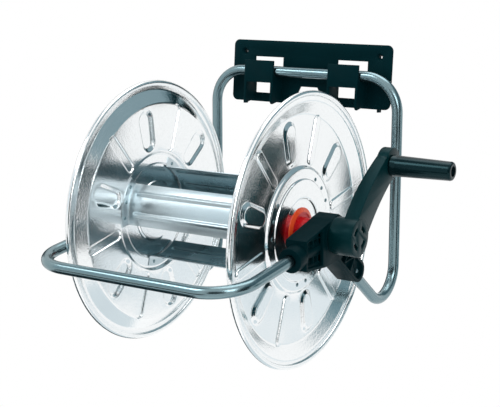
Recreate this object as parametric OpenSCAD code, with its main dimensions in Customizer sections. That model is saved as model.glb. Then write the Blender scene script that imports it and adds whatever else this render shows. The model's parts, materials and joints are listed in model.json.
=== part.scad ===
// Wall mounted garden hose reel: a moulded wall bracket, a frame of two bent tubes held in two
// bearing blocks, and a drum of pressed discs and slats that a crank turns.
// Millimetres. X runs along the drum's axle with the crank at plus X, plus Y points into the
// wall and plus Z is up. The origin lies on the wall, midway between the two wall screws.

/* [Wall bracket] */
// Height of the wall plate
plate_h = 96; // [80:1:110]
// How far the plate stands off the wall
plate_depth = 12; // [8:0.5:16]
// Thickness of the plate's front skin
plate_skin = 4; // [2.5:0.5:6]
// Thickness of the rim behind the plate
plate_edge = 3; // [2:0.5:5]
// Distance of that rim from the plate's edge
plate_inset = 9; // [6:0.5:14]
// Corner radius of the plate
plate_corner = 9; // [4:0.5:16]
// Distance between the two wall screws
screw_pitch = 237; // [200:1:250]
// Plate beyond each wall screw
plate_over = 20.5; // [16:0.5:30]
// Wall screws below the plate's top edge
screw_inset = 18; // [12:1:24]
// Hanging tube below the wall screws
tube_below = 29; // [24:1:36]
// Radius of a wall screw hole
screw_hole_r = 2.75; // [2:0.05:3.5]
// Distance between the centres of the two hooks
hook_pitch = 147; // [120:1:170]
// Width of a hook
hook_w = 51.5; // [40:0.5:60]
// Thickness of a hook's cheek
cheek_t = 4; // [3:0.5:6]
// Thickness of a hook's lip
lip_t = 4; // [3:0.5:6]
// Centre of the hanging tube in front of the wall
seat_out = 30; // [26:1:40]

/* [Frame tubes] */
// Outside radius of the tubes
tube_r = 8; // [7:0.25:10]
// Wall thickness of the tubes
tube_wall = 1.25; // [1:0.05:2]
// Distance between the two legs
leg_pitch = 318; // [300:1:340]
// Bend radius of the upper corners
top_bend = 52; // [40:1:70]
// Bend radius at the foot of a leg
foot_bend = 44; // [35:1:60]
// Bend radius of the front loop
loop_bend = 55; // [40:1:90]
// Front bar of the loop ahead of the axle
loop_reach = 231; // [210:1:260]
// Downward slope of the front loop
loop_slope = 6.3; // [0:0.1:12]
// Slope of the return run from leg to block
return_slope = 37.8; // [30:0.1:45]
// Lean of the hanging frame, with its feet against the wall
hang_lean = 4.5; // [0:0.1:8]

/* [Bearing blocks] */
// Axle below the hanging tube
axle_below = 190; // [180:1:210]
// Axle ahead of the hanging tube
axle_ahead = 218; // [205:1:240]
// Width of a block along the axle
block_w = 31; // [28:0.5:36]
// Radius of the bearing's outer wall
bearing_r = 23.5; // [21:0.5:26]
// Radius of the front collar
collar_r = 16.5; // [13:0.5:18]

/* [Drum] */
// Radius of a disc over its rolled rim
disc_r = 190; // [160:1:210]
// Thickness of the disc's sheet
sheet = 1.2; // [0.8:0.1:2]
// Radius of the rolled rim's bead
bead_r = 4; // [3:0.25:5]
// Inner face of the disc's field from the drum's middle
field_x = 117.4; // [100:0.2:140]
// Radius of the drum core
core_r = 67; // [55:1:80]
// Turn of the drum at rest
drum_phase = 41; // [0:1:119]
// Arc that one slat covers
slat_arc = 53; // [40:1:70]

/* [Hub and crank] */
// Radius of the hub's journal
journal_r = 16.5; // [12:0.5:18]
// Radius of the red flange
flange_r = 31.5; // [28:0.5:34]
// Outer face of the crank from the drum's middle
crank_face = 212; // [205:1:225]
// Radius of the crank's boss
boss_r = 25.5; // [22:0.5:28]
// Grip axis behind the axle
grip_y = 93; // [70:1:110]
// Grip axis above the axle
grip_z = 84; // [70:1:110]
// Width of the crank arm
arm_w = 38; // [30:1:42]
// Radius of the crank arm's sweep
arm_sweep = 330; // [200:10:500]
// Length of the grip
grip_len = 89; // [80:1:120]
// Radius of the grip's bore
grip_bore = 5; // [4:0.25:6]

/* [Hidden] */
$fn = 96;

// Fits and clearances
run = 0.05;
apart = 0.4;
snug = 0.02;
eps = 0.01;

// Wall bracket
tube_z = -tube_below;
plate_w = screw_pitch + 2 * plate_over;
plate_mid = screw_inset - plate_h / 2;
plate_bottom = screw_inset - plate_h;
lip_back = seat_out + tube_r + apart;
lip_front = lip_back + lip_t;
window_w = 51.4;
window_top = 21.5;
window_bottom = -35;
lip_top = 16;
lip_bottom = -15;

// Frame
leg_x = leg_pitch / 2;
tube_in = tube_r - tube_wall;
axle_y = -(seat_out + axle_ahead);
axle_z = tube_z - axle_below;
tubes_below = 8.5;
front_end = 24;
rear_end = 62;
block_in = leg_x - block_w / 2;
block_out = leg_x + block_w / 2;
bearing_out = block_out + 3.5;
collar_end = 92;
arm_end = 110;
arm_half = 16;
tube_screw_r = 1.5;
screw_len = 15;

// Drum
plateau_x = field_x + 4;
ring_x = plateau_x + 1.8;
hub_x = plateau_x - 0.4;
rim_x = field_x + 10.4;
cone_out = 176;
cone_in = 158;
plateau_r = 84;
ring_r = core_r + 2.4;
centre_r = 43;
hub_hole = 15;
hub_tail = 9;
water_r = 10;
peg_r = 2.5;
peg_ring = 20.5;
rivet_r = 1.5;
rivet_ring = core_r + 8;
rivet_step = 17.5;
tab_r = core_r + 14;
rib_in = 93;
rib_out = 154.5;
pocket_in = 101;
pocket_out = 137;

// Crank and grip
dog_in = 12;
dog_out = 16;
boss_back = bearing_out + apart;
socket_end = crank_face - 9;
arm_back = crank_face - 21;
head_back = crank_face - 17;
head_r = 20;
head_off = 3.9;
grip_start = crank_face + 0.6;
grip_end = grip_start + grip_len;
grip_hole = 7.2;
pin_head_x = grip_end - 9;

steel = [0.74, 0.76, 0.78];
black = [0.09, 0.10, 0.10];
red = [0.80, 0.09, 0.05];
rubber = [0.05, 0.05, 0.05];

// Extrudes a shape drawn in X and Z from one distance off the wall to another
module off_wall(near, far)
    translate([0, -near, 0]) rotate([90, 0, 0]) linear_extrude(far - near) children();

// Extrudes a shape drawn in Y and Z along X
module along_x(from, to)
    translate([from, 0, 0]) rotate([90, 0, 90]) linear_extrude(to - from) children();

// Turns a profile drawn as radius and X about the drum's axle
module revolve_x()
    rotate([90, 0, 90]) rotate_extrude() children();

// Leans the frame about the tube that hangs in the hooks
module hung()
    translate([0, -seat_out, tube_z]) rotate([hang_lean, 0, 0])
        translate([0, seat_out, -tube_z]) children();

module at_axle()
    hung() translate([0, axle_y, axle_z]) children();

module both_sides() {
    children();
    mirror([1, 0, 0]) children();
}

module rounded_rect(w, h, r) {
    square([w - 2 * r, h], center = true);
    square([w, h - 2 * r], center = true);
    for (x = [-1, 1], y = [-1, 1])
        translate([x * (w / 2 - r), y * (h / 2 - r)]) circle(r);
}

// Straight rod between two points
module rod(from, to, r) {
    d = to - from;
    translate(from)
        rotate([0, acos(d.z / norm(d)), atan2(d.y, d.x)])
            cylinder(r = r, h = norm(d));
}

module tube_section()
    difference() {
        circle(tube_r);
        circle(tube_in);
    }

// Straight run of tube between two points
module tube_run(from, to) {
    d = to - from;
    translate(from)
        rotate([0, acos(d.z / norm(d)), atan2(d.y, d.x)])
            linear_extrude(norm(d)) tube_section();
}

// Bend of the tube about the Z axis, from the X axis towards the Y axis
module tube_bend(sweep, turn)
    rotate_extrude(angle = turn) translate([sweep, 0]) tube_section();

// Notch in the lower edge of the wall plate, grown by a margin
module notch(margin)
    polygon([
        [-30 - margin, plate_bottom - 5], [-15 - margin, plate_bottom + 27 + margin],
        [15 + margin, plate_bottom + 27 + margin], [30 + margin, plate_bottom - 5]
    ]);

// Side of a hook, drawn in Y and Z about the tube's centre, with the seat open at the top
module cheek_outline()
    difference() {
        polygon([
            [-plate_depth + 2, 4], [-seat_out, 1], [-lip_back, lip_top],
            [-lip_front, lip_top], [-lip_front, -47],
            [-lip_front + 4, -51], [-plate_depth + 2, -44]
        ]);
        translate([-seat_out, 0]) circle(tube_r + run);
        translate([-seat_out - tube_r - run, 0]) square([2 * (tube_r + run), 40]);
    }

module lip_outline()
    polygon([
        [-hook_w / 2, lip_bottom], [-hook_w / 2, lip_top - 7], [-hook_w / 2 + 4, lip_top],
        [hook_w / 2 - 4, lip_top], [hook_w / 2, lip_top - 7], [hook_w / 2, lip_bottom]
    ]);

// One hook: two cheeks, the lip in front of the tube and the floor web below the lip
module hook()
    translate([0, 0, tube_z]) {
        for (x = [-hook_w / 2, hook_w / 2 - cheek_t])
            along_x(x, x + cheek_t) cheek_outline();
        off_wall(lip_back, lip_front) lip_outline();
        translate([-hook_w / 2, -lip_front, lip_bottom - 3]) cube([hook_w, 16, 3.2]);
    }

// Outline of the wall plate, drawn in by a margin
module plate_outline(margin)
    difference() {
        translate([0, plate_mid])
            rounded_rect(plate_w - 2 * margin, plate_h - 2 * margin, plate_corner - margin / 2);
        notch(margin);
    }

module wall_bracket()
    color(black) {
        difference() {
            union() {
                off_wall(plate_depth - plate_skin, plate_depth) plate_outline(0);
                // Rim, screw bosses, ribs and feet that carry the skin off the wall
                off_wall(0, plate_depth - plate_skin + 1)
                    difference() {
                        plate_outline(plate_inset);
                        plate_outline(plate_inset + plate_edge);
                    }
                for (x = [-1, 1]) {
                    translate([x * screw_pitch / 2, 0, 0]) rotate([90, 0, 0]) cylinder(r = 8, h = 10);
                    translate([x * screw_pitch / 2 - 1.75, -plate_depth + plate_skin - 1,
                        plate_bottom - 4.5])
                        cube([3.5, plate_depth - plate_skin + 1, 8]);
                    for (dx = [-1, 1])
                        translate([x * hook_pitch / 2 + dx * (hook_w / 2 + 8) - 1.5, -plate_depth + 1,
                            plate_bottom + plate_inset + 1])
                            cube([3, plate_depth - 1, plate_h - 2 * plate_inset - 2]);
                }
            }
            for (x = [-1, 1]) {
                translate([x * screw_pitch / 2, 1, 0]) rotate([90, 0, 0])
                    cylinder(r = screw_hole_r, h = plate_depth + 2);
                translate([x * screw_pitch / 2, -plate_depth + 3.2, 0]) rotate([90, 0, 0])
                    cylinder(r1 = screw_hole_r, r2 = screw_hole_r + 3.4, h = 3.4);
                translate([x * hook_pitch / 2 - hook_w / 2 + 2.4, -plate_depth - 1,
                    tube_z + window_bottom])
                    cube([hook_w - 4.8, plate_depth + 2, window_top - window_bottom - 1]);
                translate([x * hook_pitch / 2 - window_w / 2, -plate_depth - 1, tube_z + 5])
                    cube([window_w, plate_depth + 2, window_top - 5]);
            }
        }
        for (x = [-1, 1])
            translate([x * hook_pitch / 2, 0, 0]) hook();
    }

// Half of the rear tube: upper corner, leg, foot bend and return run
module rear_half() {
    foot_y = -seat_out - foot_bend;
    run_y = foot_y - foot_bend * sin(return_slope);
    run_len = (run_y - axle_y) / cos(return_slope);
    run_z = axle_z - tubes_below - run_len * sin(return_slope);
    foot_z = round(1000 * (run_z + foot_bend * cos(return_slope))) / 1000;
    translate([leg_x - top_bend, -seat_out, tube_z - top_bend])
        rotate([90, 0, 0]) tube_bend(top_bend, 90);
    translate([leg_x, -seat_out, foot_z])
        linear_extrude(tube_z - top_bend - foot_z) tube_section();
    translate([leg_x, foot_y, foot_z]) rotate([90, 0, 90]) {
        tube_bend(foot_bend, -90 - return_slope);
        rotate(-90 - return_slope) translate([foot_bend, 0, 0]) rotate([90, 0, 0])
            linear_extrude(run_len - rear_end - snug) tube_section();
    }
}

module rear_frame_tube()
    color(steel)
        difference() {
            hung() {
                both_sides() rear_half();
                tube_run([top_bend - leg_x, -seat_out, tube_z], [leg_x - top_bend, -seat_out, tube_z]);
            }
            at_axle() both_sides() rear_screw() screw_hole();
        }

// Frame of the front loop: its plane slopes down away from the blocks
module on_loop()
    at_axle() translate([0, 0, -tubes_below]) rotate([loop_slope, 0, 0]) children();

module front_half() {
    corner = loop_reach - loop_bend;
    tube_run([leg_x, -corner, 0], [leg_x, -front_end - snug, 0]);
    translate([leg_x - loop_bend, -corner, 0]) rotate(-90) tube_bend(loop_bend, 90);
}

module front_frame_tube()
    color(steel)
        difference() {
            on_loop() {
                both_sides() front_half();
                tube_run([loop_bend - leg_x, -loop_reach, 0], [leg_x - loop_bend, -loop_reach, 0]);
            }
            at_axle() both_sides() front_screw() screw_hole();
        }

// Runs along the rear socket, drawn in Y and Z about the axle
module on_return()
    translate([0, -tubes_below]) rotate(-return_slope) children();

module block_outline() {
    polygon([[-75, -34.5], [-75, 5.3], [12, 26.5], [24, 20], [29, 0], [18, -37], [-24, -39.5]]);
    circle(bearing_r);
    on_return() {
        translate([0, -arm_half]) square([arm_end - arm_half, 2 * arm_half]);
        translate([arm_end - arm_half, 0]) circle(arm_half);
    }
}

// Recess in the outer face of the block's front part
module lattice_recess()
    polygon([[-71.5, -31.5], [-71.5, 3], [-31, 12.5], [-31, -35]]);

// Open cells in the floor of that recess
module lattice_cells()
    for (y = [-69 : 12 : -33], z = [-30 : 11 : 6])
        if (z + 9 < 5 + (y + 70) * 0.24 && z > -36)
            translate([y, z]) square([10, 9]);

// Window in the outer face of the rear socket, left open round ribs that form a zigzag
module return_window()
    on_return()
        difference() {
            union() {
                translate([34, -11.5]) square([59, 23]);
                translate([93, 0]) circle(11.5);
            }
            for (y = [47, 69])
                translate([y, -12]) square([2, 24]);
            translate([58, 0]) rotate(-48) square([1.8, 34], center = true);
        }

// Tube screws stand across the sockets: along X in the rear one, upwards in the front one
module rear_screw()
    translate([0, 0, -tubes_below]) rotate([-return_slope, 0, 0])
        translate([block_out - 5.5, 95, 0]) rotate([0, 90, 0]) children();

module front_screw()
    translate([0, 0, -tubes_below]) rotate([loop_slope, 0, 0])
        translate([leg_x, -56, -20]) rotate([180, 0, 0]) children();

module each_screw() {
    rear_screw() children();
    front_screw() children();
}

module screw_hole()
    translate([0, 0, -screw_len - 1]) cylinder(r = tube_screw_r + snug, h = screw_len + 2);

module bearing_block(inlet)
    difference() {
        union() {
            along_x(block_in, block_out) block_outline();
            translate([block_in, 0, 0]) rotate([0, 90, 0])
                cylinder(r = bearing_r, h = bearing_out - block_in);
            translate([leg_x, 0, -tubes_below]) rotate([90 + loop_slope, 0, 0])
                translate([0, 0, 60]) cylinder(r = collar_r, h = collar_end - 60);
        }
        // Journal bore and tube sockets
        translate([block_in - 1, 0, 0]) rotate([0, 90, 0])
            cylinder(r = journal_r + run, h = block_w + 10);
        translate([leg_x, 0, -tubes_below]) rotate([90 + loop_slope, 0, 0])
            translate([0, 0, front_end]) cylinder(r = tube_r + snug, h = collar_end);
        translate([leg_x, 0, -tubes_below]) rotate([90 + loop_slope, 0, 0])
            translate([0, 0, collar_end - 1]) cylinder(r1 = tube_r, r2 = tube_r + 1.2, h = 1.2);
        translate([leg_x, 0, -tubes_below]) rotate([-90 - return_slope, 0, 0])
            translate([0, 0, rear_end]) cylinder(r = tube_r + snug, h = arm_end);
        // Coring of the outer face
        difference() {
            union() {
                along_x(block_out - 6, block_out + 1) lattice_recess();
                along_x(block_out - 20, block_out - 5) lattice_cells();
            }
            translate([leg_x, 0, -tubes_below]) rotate([90 + loop_slope, 0, 0])
                cylinder(r = tube_r + 3, h = collar_end);
        }
        along_x(block_out - 5.5, block_out + 1) return_window();
        each_screw() screw_hole();
        front_screw() cylinder(r = 4, h = 30);
        if (inlet)
            each_flange_screw() translate([0, 0, -8]) cylinder(r = 1.5 + snug, h = 9);
    }

module crank_side_block()
    color(black) at_axle() bearing_block(false);

module inlet_side_block()
    color(black) at_axle() mirror([1, 0, 0]) bearing_block(true);

// Pan head screw with a cross slot, its head seated on the plane below it
module pan_screw(r, head_r, head_h, len)
    difference() {
        union() {
            translate([0, 0, -len]) cylinder(r = r, h = len + eps);
            cylinder(r = head_r, h = head_h * 0.55);
            translate([0, 0, head_h * 0.55]) cylinder(r1 = head_r, r2 = head_r * 0.6, h = head_h * 0.45);
        }
        for (a = [0, 90])
            rotate(a) translate([-head_r * 0.55, -0.35, head_h * 0.5]) cube([head_r * 1.1, 0.7, head_h]);
    }

module tube_screws()
    color(steel) at_axle() both_sides() each_screw() pan_screw(tube_screw_r, 3.2, 2.4, screw_len);

// The inlet fitting closes the hidden block: flange, sealed spigot and hose connector
module inlet_fitting()
    color(black) at_axle() mirror([1, 0, 0])
        difference() {
            revolve_x()
                polygon([
                    [6, block_in + 8], [water_r - run, block_in + 8], [water_r - run, bearing_out],
                    [bearing_r + 2.5, bearing_out], [bearing_r + 2.5, bearing_out + 5],
                    [13, bearing_out + 5], [12, bearing_out + 14], [8.5, bearing_out + 14],
                    [8.5, bearing_out + 38], [7.5, bearing_out + 39], [6, bearing_out + 39]
                ]);
            for (x = [block_in + 13, block_in + 20])
                revolve_x() translate([8.18, x]) square([4, 2.4]);
            each_flange_screw() translate([0, 0, -1]) cylinder(r = 1.6, h = 9);
        }

module inlet_seals()
    color(rubber) at_axle() mirror([1, 0, 0])
        for (x = [block_in + 13, block_in + 20])
            revolve_x() {
                translate([9.1, x + 1.2]) circle(0.86);
                translate([8.2, x + 0.34]) square([0.9, 1.72]);
            }

module each_flange_screw()
    for (a = [30 : 120 : 270])
        rotate([a, 0, 0]) translate([bearing_out, 0, 20]) rotate([0, 90, 0]) children();

module inlet_screws()
    color(steel) at_axle() mirror([1, 0, 0])
        each_flange_screw() translate([0, 0, 5]) pan_screw(1.5, 2.9, 2, 12);

// Sheet of a disc from the rolled rim to the hub, drawn as radius and X
module disc_profile() {
    inner = [
        [disc_r - bead_r, rim_x], [cone_out, rim_x], [cone_in, field_x], [plateau_r + 4, field_x],
        [plateau_r, plateau_x], [ring_r + 1.2, plateau_x], [ring_r, ring_x], [centre_r + 1.6, ring_x],
        [centre_r, hub_x], [hub_hole + run, hub_x]
    ];
    outer = [for (i = [len(inner) - 1 : -1 : 0]) inner[i] + [0, sheet]];
    polygon(concat(inner, outer));
    translate([disc_r - bead_r, rim_x + sheet / 2]) circle(bead_r);
}

// Outline of a pressed pocket that narrows towards the hub, lying along Y
module pocket_outline(r_in, r_out) {
    len = pocket_out - pocket_in;
    lean = asin((r_out - r_in) / len);
    side = [for (c = [[pocket_in, r_in], [pocket_out, r_out]])
        [c.x - c.y * sin(lean), c.y * cos(lean) - 0.2]];
    translate([pocket_in, 0]) circle(r_in);
    translate([pocket_out, 0]) circle(r_out);
    polygon([side[0], side[1], [side[1].x, -side[1].y], [side[0].x, -side[0].y]]);
}

// Places children at evenly spaced angles about the axle, counted from plus Y towards plus Z
module spokes(count, first)
    for (k = [0 : count - 1])
        rotate([first + k * 360 / count, 0, 0]) children();

// Radial bead of the disc as a rod with round ends
module rib_rod(r)
    translate([field_x + sheet - 1.5, 0, 0]) {
        rod([0, rib_in, 0], [0, rib_out, 0], r);
        for (y = [rib_in, rib_out])
            translate([0, y, 0]) sphere(r);
    }

module disc()
    difference() {
        union() {
            revolve_x() disc_profile();
            spokes(6, drum_phase + 30)
                intersection() {
                    rib_rod(4.5);
                    translate([field_x + sheet / 2, 0, -20]) cube([20, disc_r, 40]);
                }
            spokes(6, drum_phase)
                along_x(field_x + sheet / 2, field_x + sheet + 3.5) pocket_outline(9, 15);
        }
        spokes(6, drum_phase + 30) rib_rod(4.5 - sheet);
        spokes(6, drum_phase)
            along_x(field_x - 1, field_x + 3.5) pocket_outline(9 - sheet, 15 - sheet);
        each_rivet() cylinder(r = rivet_r + run, h = 20, center = true);
        each_peg() cylinder(r = peg_r + run, h = 20, center = true);
    }

// Rivet places, with Z outwards from the plateau's inner face
module each_rivet()
    spokes(3, drum_phase)
        for (a = [-rivet_step, 0, rivet_step])
            rotate([a, 0, 0]) translate([plateau_x, rivet_ring, 0]) rotate([0, 90, 0]) children();

module each_peg()
    spokes(3, 110) translate([hub_x, peg_ring, 0]) rotate([0, 90, 0]) children();

module crank_side_disc()
    color(steel) at_axle() disc();

module inlet_side_disc()
    color(steel) at_axle() mirror([1, 0, 0]) disc();

// Bead of a slat as a rod with round ends, at one place on the arc
module slat_bead(a, r)
    rotate([a, 0, 0]) translate([0, core_r - 0.6, 0]) {
        rod([-plateau_x + 12, 0, 0], [plateau_x - 12, 0, 0], r);
        for (x = [-1, 1])
            translate([x * (plateau_x - 12), 0, 0]) sphere(r);
    }

// One slat: a curved sheet with a tab turned out at each end and two pressed beads
module slat(place)
    color(steel) at_axle() rotate([drum_phase + place, 0, 0])
        difference() {
            union() {
                rotate([90, 0, 90]) rotate(-slat_arc / 2) rotate_extrude(angle = slat_arc) {
                    translate([core_r - 1, -plateau_x]) square([1, 2 * plateau_x]);
                    for (x = [-plateau_x, plateau_x - 1])
                        translate([core_r - 1, x]) square([tab_r - core_r + 1, 1]);
                }
                difference() {
                    for (a = [-13, 13])
                        slat_bead(a, 3.4);
                    rotate([0, 90, 0]) cylinder(r = core_r - 0.5, h = 3 * plateau_x, center = true);
                }
            }
            for (a = [-13, 13])
                slat_bead(a, 2.4);
            for (a = [-rivet_step, 0, rivet_step])
                rotate([a, 0, 0]) translate([0, rivet_ring, 0]) rotate([0, 90, 0])
                    cylinder(r = rivet_r + run, h = 4 * plateau_x, center = true);
        }

module rear_slat() slat(0);

module front_slat() slat(120);

module lower_slat() slat(240);

module rivets()
    color(steel)
        each_rivet() {
            translate([0, 0, -1 - eps]) cylinder(r = rivet_r, h = 1 + sheet + 2 * eps);
            translate([0, 0, -2]) cylinder(r1 = 1.8, r2 = 2.8, h = 1);
            translate([0, 0, sheet]) cylinder(r1 = 2.8, r2 = 1.8, h = 1);
        }

module crank_side_rivets() at_axle() rivets();

module inlet_side_rivets() at_axle() mirror([1, 0, 0]) rivets();

// Hub bush: a flange with a sloping rim, pegs staked through the disc, and a journal for the block
module hub_body(journal_end) {
    back = hub_x + sheet;
    difference() {
        revolve_x()
            polygon([
                [0, hub_x - hub_tail], [hub_hole, hub_x - hub_tail], [hub_hole, back], [flange_r, back],
                [flange_r, back + 0.8], [flange_r - 6, back + 3], [flange_r - 7, back + 3],
                [flange_r - 8, back + 1.8], [18.5, back + 1.8], [18.5, block_in - apart],
                [journal_r, block_in - apart], [journal_r, journal_end], [0, journal_end]
            ]);
        // Water way, blind at the crank's end
        translate([hub_x - hub_tail - 1, 0, 0]) rotate([0, 90, 0])
            cylinder(r = water_r,
                h = journal_end - hub_x + hub_tail + (journal_end > bearing_out ? -7 : 2));
    }
    each_peg() {
        cylinder(r = peg_r, h = sheet + eps);
        translate([0, 0, -1.4]) cylinder(r1 = 2.6, r2 = 4, h = 1.4);
        translate([0, 0, -eps]) cylinder(r = peg_r, h = 2 * eps);
    }
}

// Ring sector in the plane across X
module dog_ring(inner, outer, arc)
    for (a = [45 : 90 : 315])
        rotate(a - arc / 2) rotate_extrude(angle = arc)
            translate([inner, 0]) square([outer - inner, 30]);

module crank_side_hub()
    color(red) at_axle() {
        hub_body(socket_end);
        intersection() {
            rotate([90, 0, 90]) translate([0, 0, socket_end - 10]) dog_ring(dog_in, dog_out, 40);
            translate([socket_end - 2, -30, -30]) cube([6, 60, 60]);
        }
    }

module inlet_side_hub()
    color(red) at_axle() mirror([1, 0, 0]) hub_body(bearing_out - 1.5);

// Elbow that takes the water from the inlet hub to the hose wound on the drum
module hose_elbow() {
    inner = hub_x - hub_tail;
    tail = 26;
    color(black) at_axle() mirror([1, 0, 0]) rotate([drum_phase + 60, 0, 0])
        difference() {
            union() {
                translate([inner - tail, 0, 0]) rotate([0, 90, 0])
                    cylinder(r = water_r - snug, h = tail + hub_tail - 1);
                translate([inner - tail, 0, 0]) sphere(10.6);
                translate([inner - 4, 0, 0]) rotate([0, 90, 0]) cylinder(r = 13, h = 4);
                translate([inner - tail, 0, 0]) rotate([-90, 0, 0]) cylinder(r = 6.5, h = 34);
                for (y = [16 : 6 : 28])
                    translate([inner - tail, y, 0]) rotate([-90, 0, 0]) cylinder(r1 = 7.6, r2 = 6.5, h = 5);
            }
            translate([inner - tail, 0, 0]) rotate([0, 90, 0]) cylinder(r = 5, h = tail + 9);
            translate([inner - tail, 0, 0]) rotate([-90, 0, 0]) cylinder(r = 4.5, h = 40);
        }
}

// Piece of the crank arm's sweep, from a share of the way along it to another
module arm_sector(half, from, to, x0, x1) {
    chord = norm([grip_y, grip_z]);
    sag = sqrt(arm_sweep * arm_sweep - chord * chord / 4);
    centre = [grip_y / 2 + sag * grip_z / chord, grip_z / 2 - sag * grip_y / chord];
    first = atan2(-centre.y, -centre.x);
    turn = 2 * asin(chord / 2 / arm_sweep);
    translate([0, centre.x, centre.y]) rotate([90, 0, 90])
        rotate(first - to * turn) rotate_extrude(angle = (to - from) * turn)
            translate([arm_sweep - half, x0]) square([2 * half, x1 - x0]);
}

module crank_arm()
    color(black) at_axle()
        difference() {
            union() {
                difference() {
                    union() {
                        arm_sector(arm_w / 2, 0.05, 1, arm_back, crank_face - 0.6);
                        translate([arm_back, grip_y + head_off, grip_z + head_off]) rotate([0, 90, 0])
                            cylinder(r = head_r, h = crank_face - arm_back);
                    }
                    // The back of the arm slopes out towards the grip
                    rotate([atan2(grip_z, grip_y), 0, 0]) translate([arm_back, 55, -60])
                        rotate([0, 0, -atan2(head_back - arm_back, 60)]) translate([-20, -10, 0])
                            cube([20, 160, 120]);
                    // Coring of the arm's back, with cross ribs left standing
                    for (k = [0.2, 0.4, 0.6])
                        arm_sector(arm_w / 2 - 3, k, k + 0.183, arm_back - 1, crank_face - 4);
                }
                translate([boss_back, 0, 0]) rotate([0, 90, 0])
                    cylinder(r = boss_r, h = crank_face - boss_back);
            }
            translate([boss_back - 1, 0, 0]) rotate([0, 90, 0])
                cylinder(r = journal_r + snug, h = socket_end - boss_back + 1);
            rotate([90, 0, 90]) translate([0, 0, socket_end - 5]) dog_ring(dog_in - 0.4, dog_out + 1, 46);
            translate([arm_back - 1, grip_y, grip_z]) rotate([0, 90, 0])
                cylinder(r = grip_bore - run + snug, h = crank_face - arm_back + 2);
            translate([arm_back - 1, grip_y, grip_z]) rotate([0, 90, 0])
                cylinder(r = 9, h = head_back - arm_back + 5);
        }

// Shouldered pin for the grip, riveted over in the arm's recess
module grip_pin()
    color(steel) at_axle() translate([0, grip_y, grip_z]) {
        r = grip_bore - run;
        difference() {
            revolve_x()
                polygon([
                    [0, head_back + 1], [7, head_back + 1], [7.5, head_back + 4], [r, head_back + 4],
                    [r, pin_head_x + apart], [grip_hole - 0.6, pin_head_x + apart],
                    [grip_hole - 0.6, pin_head_x + 3.4],
                    [5.4, pin_head_x + 4.4], [0, pin_head_x + 4.4]
                ]);
            translate([pin_head_x + 3, -8, -0.7]) cube([3, 16, 1.4]);
        }
    }

module crank_grip()
    color(black) at_axle() translate([0, grip_y, grip_z])
        revolve_x()
            polygon([
                [grip_bore, grip_start], [14.6, grip_start], [15.2, grip_start + 2], [14.6, grip_start + 9],
                [13, grip_end - 3], [12.1, grip_end - 0.9], [10.4, grip_end],
                [grip_hole, grip_end], [grip_hole, pin_head_x], [grip_bore, pin_head_x]
            ]);

wall_bracket();
rear_frame_tube();
front_frame_tube();
crank_side_block();
inlet_side_block();
tube_screws();
inlet_fitting();
inlet_seals();
inlet_screws();
crank_side_disc();
inlet_side_disc();
rear_slat();
front_slat();
lower_slat();
crank_side_rivets();
inlet_side_rivets();
crank_side_hub();
inlet_side_hub();
hose_elbow();
crank_arm();
grip_pin();
crank_grip();
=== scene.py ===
"""Dresses a wall mounted hose reel: smooth pressings, finishes for every piece, and a studio stage."""

import json
import math

import bmesh
import bpy
from bpy.props import FloatProperty, FloatVectorProperty, IntProperty, PointerProperty
from mathutils import Matrix, Vector
from mathutils.geometry import delaunay_2d_cdt


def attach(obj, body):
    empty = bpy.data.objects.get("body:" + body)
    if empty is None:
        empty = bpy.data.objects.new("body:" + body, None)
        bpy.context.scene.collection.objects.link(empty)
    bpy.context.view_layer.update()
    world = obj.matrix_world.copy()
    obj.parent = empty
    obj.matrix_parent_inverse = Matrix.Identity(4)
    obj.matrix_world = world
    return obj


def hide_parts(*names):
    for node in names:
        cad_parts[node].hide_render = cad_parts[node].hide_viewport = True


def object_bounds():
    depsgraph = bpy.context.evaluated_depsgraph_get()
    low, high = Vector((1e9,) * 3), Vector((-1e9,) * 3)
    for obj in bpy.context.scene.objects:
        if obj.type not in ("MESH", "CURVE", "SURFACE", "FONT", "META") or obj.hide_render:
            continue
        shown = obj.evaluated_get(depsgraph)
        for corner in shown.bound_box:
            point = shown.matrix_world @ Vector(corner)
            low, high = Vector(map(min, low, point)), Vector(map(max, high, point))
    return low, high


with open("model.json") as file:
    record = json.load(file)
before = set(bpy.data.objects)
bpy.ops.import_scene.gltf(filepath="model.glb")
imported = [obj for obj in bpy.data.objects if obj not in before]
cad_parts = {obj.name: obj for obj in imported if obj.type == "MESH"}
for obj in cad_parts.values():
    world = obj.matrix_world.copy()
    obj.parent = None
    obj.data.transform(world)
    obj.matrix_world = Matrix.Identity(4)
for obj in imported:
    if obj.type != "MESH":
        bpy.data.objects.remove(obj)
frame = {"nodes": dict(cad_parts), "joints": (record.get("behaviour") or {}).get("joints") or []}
CAD_BOX = [list(corner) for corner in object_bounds()]

bl_info = {
    "name": "Hose Reel Dresser",
    "version": (1, 0, 0),
    "blender": (4, 5, 0),
    "location": "3D View > Sidebar > Hose Reel",
    "description": "Makes the pressed drum, the moulded pieces and the studio of a wall mounted hose reel",
    "category": "Object",
}

MM = 0.001
JOINTS = {joint["name"]: joint for joint in frame["joints"]}
AXLE = Vector(JOINTS["drum_spin"]["pos_m"])
HANG = Vector(JOINTS["frame_swing"]["pos_m"])
# Name of each side of the drum, and its direction along the axle
SIDES = (("crank", 1), ("inlet", -1))
# Edges with a larger angle between their faces stay sharp
SMOOTH_ANGLE = math.radians(40)


def linear(hex_colour):
    """Turns an sRGB hex colour into a linear one with full alpha."""
    parts = [int(hex_colour[i : i + 2], 16) / 255 for i in (1, 3, 5)]
    return [p / 12.92 if p <= 0.04045 else ((p + 0.055) / 1.055) ** 2.4 for p in parts] + [1.0]


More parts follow.
